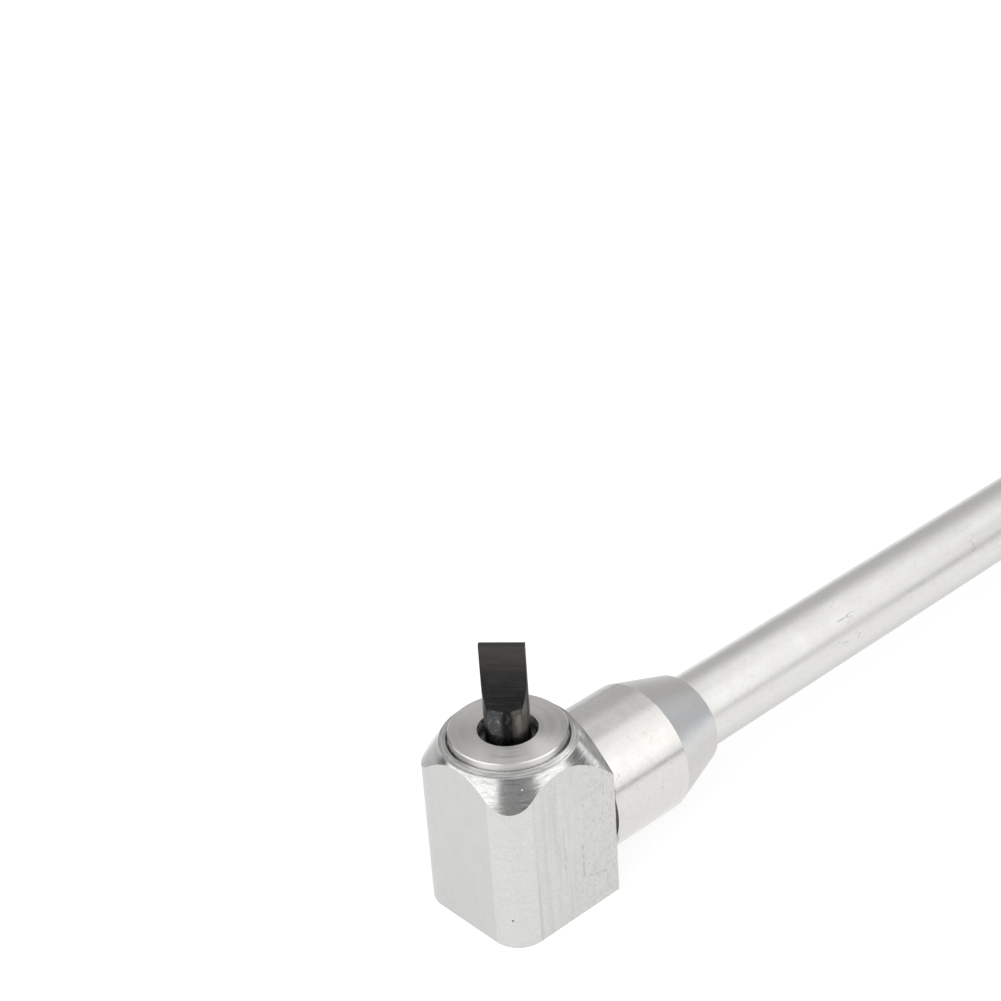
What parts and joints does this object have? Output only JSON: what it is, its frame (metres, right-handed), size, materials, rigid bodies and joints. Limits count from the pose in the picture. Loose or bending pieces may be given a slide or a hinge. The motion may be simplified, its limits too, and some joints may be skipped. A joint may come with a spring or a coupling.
{
  "type": "offset screwdriver",
  "caption": "Right-angle offset screwdriver: a square metal head with bevel gears turns a flat-blade bit from a finger knob at the end of a long tube handle.",
  "frame": {"origin": "on the flat base of the head, where the axis of the bit meets it", "axes": "+Z along the bit towards its tip, +X along the tube handle towards the knob"},
  "size_m": [0.2403, 0.0182, 0.033],
  "materials": {
    "milled_aluminium": "satin, milled flats and a polished turned cone",
    "turned_aluminium": "satin, fine turning marks",
    "drawn_aluminium": "satin, drawn along its length",
    "knob_aluminium": "satin, ridged grip",
    "bush_steel": "faced and turned, bright chamfer",
    "bronze": "plain bearing bronze",
    "ground_steel": "ground",
    "dark_steel": "blackened",
    "black_oxide_steel": "black oxide, ground blade"
  },
  "bodies": {
    "housing": {"head_block": "milled_aluminium", "top_bush": "bush_steel", "base_bush": "bronze", "neck_collar": "turned_aluminium", "front_shaft_bush": "bronze", "handle_tube": "drawn_aluminium", "rear_shaft_bush": "bronze"},
    "drive_train": {"drive_shaft": "ground_steel", "input_pinion": "dark_steel", "pinion_pin": "ground_steel", "pinion_thrust_washer": "bronze", "rear_thrust_washer": "bronze", "knob": "knob_aluminium", "knob_set_screw": "dark_steel"},
    "spindle": {"output_spindle": "dark_steel", "output_gear": "dark_steel", "gear_pin": "ground_steel", "spindle_thrust_washer": "bronze", "bit_grip_ring": "ground_steel"},
    "bit": {"screwdriver_bit": "black_oxide_steel"}
  },
  "joints": [
    {"name": "drive_spin", "type": "hinge", "parent": "housing", "child": "drive_train", "pos_m": [0.1, 0, 0.0092], "axis": [1, 0, 0], "continuous": true},
    {"name": "spindle_spin", "type": "hinge", "parent": "housing", "child": "spindle", "pos_m": [0, 0, 0.015], "axis": [0, 0, 1], "continuous": true},
    {"name": "bit_release", "type": "slide", "parent": "spindle", "child": "bit", "axis": [0, 0, 1], "range_m": [0, 0.006]}
  ],
  "couplings": [
    {"joint": "spindle_spin", "follows": "drive_spin", "ratio": -1}
  ]
}
